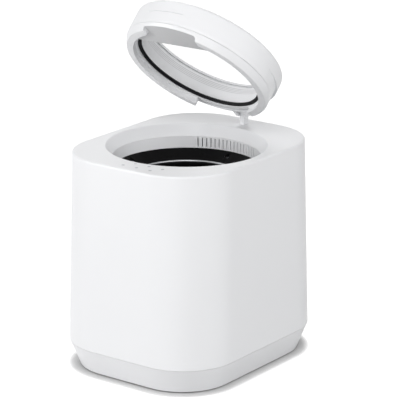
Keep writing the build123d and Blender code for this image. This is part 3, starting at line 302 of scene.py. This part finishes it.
def machined_steel(name, colour, rough=0.32):
    """Small turned and plated metal parts: fine multi-way grain and faint tarnish."""
    p = Paint(name)
    fine = p.cloud(1800.0, detail=3.0, rough=0.6)
    tarnish = p.cloud(60.0, detail=3.0, rough=0.6)
    p.put(Base_Color=p.tint(tarnish, shade(colour, 0.86), shade(colour, 1.06)), Metallic=1.0,
          Roughness=rough + 0.12 * (tarnish - 0.5) + 0.08 * (fine - 0.5),
          Normal=p.bump(fine, depth=0.00002, strength=0.4))
    return p.material


def soft_rubber(name, colour, rough):
    """Moulded rubber: dusty bloom and a fine matt skin."""
    p = Paint(name)
    bloom = p.cloud(45.0, detail=4.0, rough=0.6)
    skin = p.cloud(2200.0, detail=2.0, rough=0.5)
    p.put(Base_Color=p.tint(bloom, colour, shade(colour, 1.9)),
          Roughness=rough + 0.12 * (bloom - 0.5),
          Normal=p.bump(skin, depth=0.00003, strength=0.5), IOR=1.2)
    return p.material


def clear_window(name):
    """Clear moulded window: nearly colourless, with a faint wave in its surface."""
    p = Paint(name)
    wave = p.cloud(9.0, detail=2.0, rough=0.5)
    p.put(Base_Color=(*WINDOW_TINT, 1.0), Roughness=0.03 + 0.03 * wave,
          Alpha=0.06 + 0.03 * wave, IOR=1.45, Normal=p.bump(wave, depth=0.00002, strength=0.2))
    return p.material


def circuit_board(name):
    """Solder mask over a mesh of tracks: cell borders as copper runs, pads as small dots."""
    p = Paint(name)
    runs = p.span(p.cells(260.0, "DISTANCE_TO_EDGE"), 0.03, 0.07, 1.0, 0.0)
    pads = p.span(p.cells(520.0), 0.10, 0.16, 1.0, 0.0)
    mask = p.tint(runs, MASK_GREEN, RUN_GREEN)
    haze = p.cloud(80.0, detail=3.0, rough=0.55)
    p.put(Base_Color=p.tint(pads, mask, PAD_TIN), Roughness=0.35 + 0.1 * haze,
          Metallic=pads * 0.8, Normal=p.bump(runs, depth=0.00003, strength=0.5))
    return p.material


def granules(name):
    """Pressed carbon grains: rounded cells, each a little lighter or darker."""
    p = Paint(name)
    grain = p.cells(420.0)
    tone = p.cloud(900.0, detail=2.0, rough=0.5)
    p.put(Base_Color=p.tint(tone, CARBON_DARK, CARBON_LIGHT), Roughness=0.6 + 0.3 * tone,
          Normal=p.bump(1.0 - grain, depth=0.0006, strength=0.8))
    return p.material


def lamp_lens(name):
    """Frosted grey light window in the deck."""
    p = Paint(name)
    frost = p.cloud(1500.0, detail=2.0, rough=0.5)
    p.put(Base_Color=p.tint(frost, LENS_DARK, LENS_LIGHT), Roughness=0.45 + 0.1 * frost,
          Normal=p.bump(frost, depth=0.00001, strength=0.4))
    return p.material


WHITE = (0.895, 0.90, 0.915)
FLECK_GREY = (0.022, 0.022, 0.024)
WINDOW_TINT = (0.97, 0.98, 0.985)
MASK_GREEN, RUN_GREEN, PAD_TIN = (0.012, 0.10, 0.045), (0.03, 0.20, 0.09), (0.5, 0.5, 0.48)
CARBON_DARK, CARBON_LIGHT = (0.012, 0.012, 0.012), (0.05, 0.05, 0.052)
LENS_DARK, LENS_LIGHT = (0.50, 0.52, 0.55), (0.62, 0.63, 0.66)

finishes = {
    "white_shell": satin_moulding("shell_white", WHITE, 0.40),
    "white_base": satin_moulding("base_white", shade(WHITE, 0.98), 0.44),
    "white_lid": satin_moulding("lid_white", shade(WHITE, 0.98), 0.44),
    # painted light: this white is lighter than the shell's, standing in for light in the hollows
    # inside
    "white_inner": satin_moulding("inner_white_painted_lighter", shade(WHITE, 1.05), 0.38),
    "grey_plastic": satin_moulding("gearbox_grey", (0.10, 0.105, 0.115), 0.5),
    "black_plastic": satin_moulding("inlet_black", (0.016, 0.016, 0.018), 0.45),
    "black_collar": non_stick("collar_coat", (0.0022, 0.0022, 0.0024)),
    "black_bucket": non_stick("bucket_coat", (0.0024, 0.0024, 0.0026)),
    "dark_aluminium": turned_metal("well_dark", (0.055, 0.055, 0.058), 0.42, 5200.0),
    "steel": machined_steel("machined_steel", (0.58, 0.59, 0.61)),
    "blade_steel": turned_metal("blade_steel", (0.50, 0.51, 0.53), 0.3, 7000.0),
    "bail_steel": machined_steel("bail_steel", (0.40, 0.405, 0.415), 0.3),
    "brass": machined_steel("bush_brass", (0.62, 0.44, 0.18), 0.3),
    "rubber_black": soft_rubber("foot_rubber", (0.012, 0.012, 0.013), 0.72),
    "seal": soft_rubber("lid_seal", (0.006, 0.006, 0.007), 0.55),
    "window": clear_window("lid_window_clear"),
    "board_green": circuit_board("board_mask"),
    "components": satin_moulding("component_black", (0.02, 0.02, 0.024), 0.4),
    "key_lamp": lamp_lens("key_lamp"),
    "carbon": granules("carbon_grains"),
    "motor_can": machined_steel("motor_can", (0.36, 0.37, 0.39), 0.38),
}
# the lining's white is painted lighter than the shell's, standing in for light inside the lid
lid_lining = lined_moulding("lid_lining", lining_painted_lighter=shade(WHITE, 1.05), skirt=shade(WHITE, 0.96),
                            # the web's colour is painted shade for its underside
                            web_shade=shade(WHITE, 0.74))

slot_of = {part["node"]: part["material_slot"] for part in frame["record"]["subparts"]}
for name, node in frame["nodes"].items():
    finish = lid_lining if name == "lid_ring" else finishes[slot_of[name]]
    node.data.materials.clear()
    node.data.materials.append(finish)


# ---- window bead --------------------------------------------------------------------------------

def window_bead():
    """A white bead that fills the gap round the window's edge.

    Its section is a rounded rectangle: with t going round it, each half-size times the sign of
    the cosine or sine of t, times the root of its size. The section is carried round the mouth's
    axis by an angle a, and the ring is then turned with the open lid about the hinge.
    """
    a = np.linspace(0.0, 2.0 * math.pi, BEAD_STEPS_ROUND, endpoint=False)[:, None]
    t = np.linspace(0.0, 2.0 * math.pi, BEAD_STEPS_ACROSS, endpoint=False)[None, :]
    radius = BEAD_RADIUS + BEAD_HALF_WIDTH * np.sign(np.cos(t)) * np.sqrt(np.abs(np.cos(t)))
    level = BEAD_LEVEL + BEAD_HALF_HEIGHT * np.sign(np.sin(t)) * np.sqrt(np.abs(np.sin(t)))
    back = MOUTH_Y + radius * np.sin(a) - HINGE[1]
    up = PARTING + level - HINGE[2] + np.zeros_like(a)
    turn_cos, turn_sin = math.cos(LID_OPEN), math.sin(LID_OPEN)
    points = np.stack([radius * np.cos(a),
                       HINGE[1] + turn_cos * back + turn_sin * up,
                       HINGE[2] - turn_sin * back + turn_cos * up], axis=-1).reshape(-1, 3)

    i, j = np.meshgrid(np.arange(BEAD_STEPS_ROUND), np.arange(BEAD_STEPS_ACROSS), indexing="ij")
    row, next_row = i * BEAD_STEPS_ACROSS, (i + 1) % BEAD_STEPS_ROUND * BEAD_STEPS_ACROSS
    next_j = (j + 1) % BEAD_STEPS_ACROSS
    faces = np.stack([row + j, next_row + j, next_row + next_j, row + next_j], axis=-1)

    mesh = bpy.data.meshes.new("window_bead")
    mesh.from_pydata(points.tolist(), [], faces.reshape(-1, 4).tolist())
    mesh.polygons.foreach_set("use_smooth", [True] * len(mesh.polygons))
    mesh.materials.append(finishes["white_inner"])
    piece = bpy.data.objects.new("window_bead", mesh)
    bpy.context.scene.collection.objects.link(piece)
    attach(piece, "lid")


window_bead()


# ---- studio -------------------------------------------------------------------------------------

FILL = 0.15                       # the room's own light on the object
GLOSS_SHOWS = 0.98                # how white the room is in reflections
FLOOR = (0.62, 0.62, 0.62)
FLOOR_GLOW = 0.80                 # what the floor adds where it is looked at
FLOOR_HALF = 6.0                  # metres from its middle to its edge
FLOOR_LINES = 3                   # grid lines each way
CONTACT = 0.018                   # how near a thing has to be to darken the floor
CONTACT_POWER = 5.0               # how fast that darkness fades
BLACK, PAPER = (0.0, 0.0, 0.0), (1.0, 1.0, 1.0)

MIDDLE = (0.0, 0.0, 0.2)          # what the lamps look at
LAMP_SIZE = 1.6                   # the side of each square lamp
LAMPS = (                         # name, place, watts
    ("key", (-2.27, -2.71, 0.82), 57.0),
    ("left_high", (-2.25, -1.20, 2.75), 10.0),
    ("corner", (1.69, -2.93, 1.43), 15.0),
    ("corner_high", (1.27, -2.21, 2.75), 27.0),
    ("side", (3.30, -0.35, 1.43), 30.0),
    ("side_high", (2.31, -1.08, 2.75), 22.0),
    ("behind", (-1.77, 2.11, 2.51), 21.0),
)

CAMERA_PLACE = (1.9715, -2.6144, 1.2313)
CAMERA_DIP = 16.930               # degrees below level
CAMERA_TURN = 36.758              # degrees round to the right of the front
LENS = 212.95                     # millimetres, on a sensor of this width
SENSOR = 36.0
SIGHT = 50.0                      # how far the camera sees, in metres


def watching(p):
    """1 where the camera looks, straight or through glass, and GLOSS_SHOWS in reflections."""
    path = p.make("ShaderNodeLightPath")
    seen, glossy, through = (Term(p, path.outputs[f"Is {kind} Ray"])
                             for kind in ("Camera", "Glossy", "Transmission"))
    return (seen + glossy * GLOSS_SHOWS + through).at_most(1.0)


def floor_finish():
    """Pale floor, seen as white paper, that keeps the shadow and the dark line at the base."""
    p = Paint("floor_paper")
    occlusion = p.make("ShaderNodeAmbientOcclusion", None, {"Distance": CONTACT})
    open_sky = Term(p, occlusion.outputs["AO"])
    glow = p.tint(watching(p) * open_sky ** CONTACT_POWER, BLACK, PAPER)
    p.put(Base_Color=(*FLOOR, 1.0), Roughness=0.9, Specular_IOR_Level=0.0,
          Emission_Color=glow, Emission_Strength=FLOOR_GLOW)
    return p.material


def floor_sheet():
    """A square sheet on the ground: z = 0 over a grid of two parameters."""
    line = np.linspace(-FLOOR_HALF, FLOOR_HALF, FLOOR_LINES)
    u, v = np.meshgrid(line, line)
    points = np.stack([u, v, np.zeros_like(u)], axis=-1).reshape(-1, 3)
    r, c = np.meshgrid(np.arange(FLOOR_LINES - 1), np.arange(FLOOR_LINES - 1), indexing="ij")
    first = r * FLOOR_LINES + c
    faces = np.stack([first, first + 1, first + FLOOR_LINES + 1, first + FLOOR_LINES], axis=-1)
    mesh = bpy.data.meshes.new("floor")
    mesh.from_pydata(points.tolist(), [], faces.reshape(-1, 4).tolist())
    mesh.materials.append(floor_finish())
    piece = bpy.data.objects.new("floor", mesh)
    bpy.context.scene.collection.objects.link(piece)


def studio_world():
    """Even white room: white where it is looked at, and a softer level as light."""
    p = Paint("studio", bpy.data.worlds, "Background")
    p.put(Color=p.tint(watching(p), (FILL, FILL, FILL), PAPER), Strength=1.0)
    bpy.context.scene.world = p.material


def soft_box(name, place, power):
    """A square area lamp that looks at the middle of the object."""
    data = bpy.data.lights.new(name, "AREA")
    data.size = LAMP_SIZE
    data.energy = power
    lamp = bpy.data.objects.new(name, data)
    lamp.location = place
    towards = Vector(MIDDLE) - Vector(place)
    lamp.rotation_euler = towards.to_track_quat("-Z", "Y").to_euler()
    bpy.context.scene.collection.objects.link(lamp)


def set_camera():
    """The camera that takes the main view."""
    data = bpy.data.cameras.new("view")
    data.lens = LENS
    data.sensor_width = SENSOR
    data.clip_end = SIGHT
    camera = bpy.data.objects.new("view", data)
    camera.location = CAMERA_PLACE
    camera.rotation_euler = (math.radians(90.0 - CAMERA_DIP), 0.0, math.radians(CAMERA_TURN))
    bpy.context.scene.collection.objects.link(camera)
    bpy.context.scene.camera = camera


floor_sheet()
studio_world()
for name, place, power in LAMPS:
    soft_box(name, place, power)
set_camera()
bpy.context.scene.view_settings.view_transform = "Standard"
